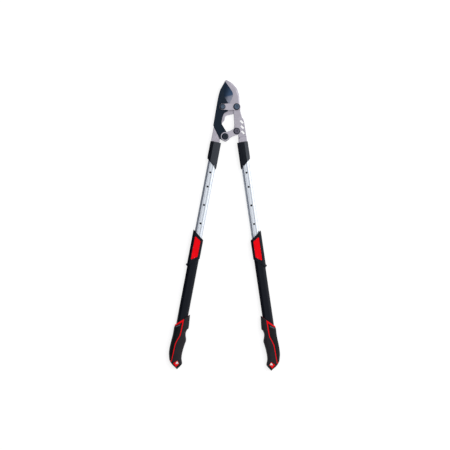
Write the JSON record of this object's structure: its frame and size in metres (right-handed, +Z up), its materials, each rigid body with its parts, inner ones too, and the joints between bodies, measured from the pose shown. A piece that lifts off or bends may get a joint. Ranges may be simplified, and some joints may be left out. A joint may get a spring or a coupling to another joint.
{
  "type": "telescopic lopper",
  "caption": "Long-handled bypass lopper: coated blade and hook on a compound bolted head, oval telescopic handles with rocker locks, soft grips with eyelets.",
  "frame": {"origin": "on the axis of the blade bolt, level with the table that the tool lies on", "axes": "+X across the tool towards the lever head, +Y from the grips to the tip, +Z up from the table"},
  "size_m": [0.3561, 0.9304, 0.0339],
  "materials": {
    "cast_alloy": "satin silver casting",
    "plate_steel": "satin plated",
    "coated_blade": "black low-friction coating, ground bevel",
    "black_bolt": "black oxide",
    "zinc_steel": "zinc plated",
    "bright_tube": "bright anodised",
    "black_tube": "black powder coat",
    "black_plastic": "fine grain",
    "red_plastic": "semi gloss",
    "soft_black": "soft touch"
  },
  "bodies": {
    "frame": {"hook_frame": "cast_alloy", "bridge_plate": "plate_steel", "blade_bolt": "black_bolt", "blade_nut": "zinc_steel", "lever_bolt": "black_bolt", "lever_nut": "zinc_steel", "frame_washers": "zinc_steel", "left_upper_collar": "black_plastic", "left_inner_tube": "bright_tube", "left_tang_rivets": "zinc_steel", "left_guide_bush": "black_plastic"},
    "blade": {"cutting_blade": "coated_blade"},
    "lever": {"lever_head": "cast_alloy", "crank_bolt": "black_bolt", "crank_nut": "zinc_steel", "crank_washer": "zinc_steel", "right_upper_collar": "black_plastic", "right_inner_tube": "bright_tube", "right_tang_rivets": "zinc_steel", "right_guide_bush": "black_plastic"},
    "link": {"front_link": "plate_steel", "rear_link": "plate_steel", "tail_bolt": "black_bolt", "tail_nut": "zinc_steel", "tail_washer": "zinc_steel"},
    "left_lower": {"left_outer_tube": "black_tube", "left_lock_collar": "black_plastic", "left_collar_screw": "black_bolt", "left_lock_axle": "zinc_steel", "left_lock_spring": "zinc_steel", "left_grip_core": "red_plastic", "left_palm_pad": "soft_black", "left_finger_pad": "soft_black", "left_grip_end": "soft_black"},
    "right_lower": {"right_outer_tube": "black_tube", "right_lock_collar": "black_plastic", "right_collar_screw": "black_bolt", "right_lock_axle": "zinc_steel", "right_lock_spring": "zinc_steel", "right_grip_core": "red_plastic", "right_palm_pad": "soft_black", "right_finger_pad": "soft_black", "right_grip_end": "soft_black"},
    "left_lock": {"left_lock_button": "red_plastic", "left_lock_pin": "zinc_steel"},
    "right_lock": {"right_lock_button": "red_plastic", "right_lock_pin": "zinc_steel"}
  },
  "joints": [
    {"name": "handles_open", "type": "hinge", "parent": "frame", "child": "lever", "pos_m": [0.045, 0, 0.02], "axis": [0, 0, 1], "range_deg": [0, 50]},
    {"name": "blade_open", "type": "hinge", "parent": "frame", "child": "blade", "pos_m": [0, 0, 0.02], "axis": [0, 0, 1], "range_deg": [0, 41]},
    {"name": "link_turn", "type": "hinge", "parent": "lever", "child": "link", "pos_m": [0.045, -0.078, 0.02], "axis": [0, 0, 1], "range_deg": [-52, 0]},
    {"name": "left_telescope", "type": "slide", "parent": "frame", "child": "left_lower", "axis": [-0.1874, -0.9823, 0], "range_m": [-0.226, 0]},
    {"name": "right_telescope", "type": "slide", "parent": "lever", "child": "right_lower", "axis": [0.1444, -0.9895, 0], "range_m": [-0.226, 0]},
    {"name": "left_lock_press", "type": "hinge", "parent": "left_lower", "child": "left_lock", "pos_m": [-0.08565, -0.45189, 0.02865], "axis": [0.9823, -0.1874, 0], "range_deg": [0, 3.5], "stiffness_Nm_per_rad": 0.6, "springref_deg": -1.72, "deforming": ["left_lock_spring"]},
    {"name": "right_lock_press", "type": "hinge", "parent": "right_lower", "child": "right_lock", "pos_m": [0.1123, -0.45439, 0.02865], "axis": [0.9895, 0.1444, 0], "range_deg": [0, 3.5], "stiffness_Nm_per_rad": 0.6, "springref_deg": -1.72, "deforming": ["right_lock_spring"]}
  ],
  "couplings": [
    {"joint": "blade_open", "follows": "handles_open", "ratio": 0.8124},
    {"joint": "link_turn", "follows": "handles_open", "ratio": -1.0304}
  ]
}
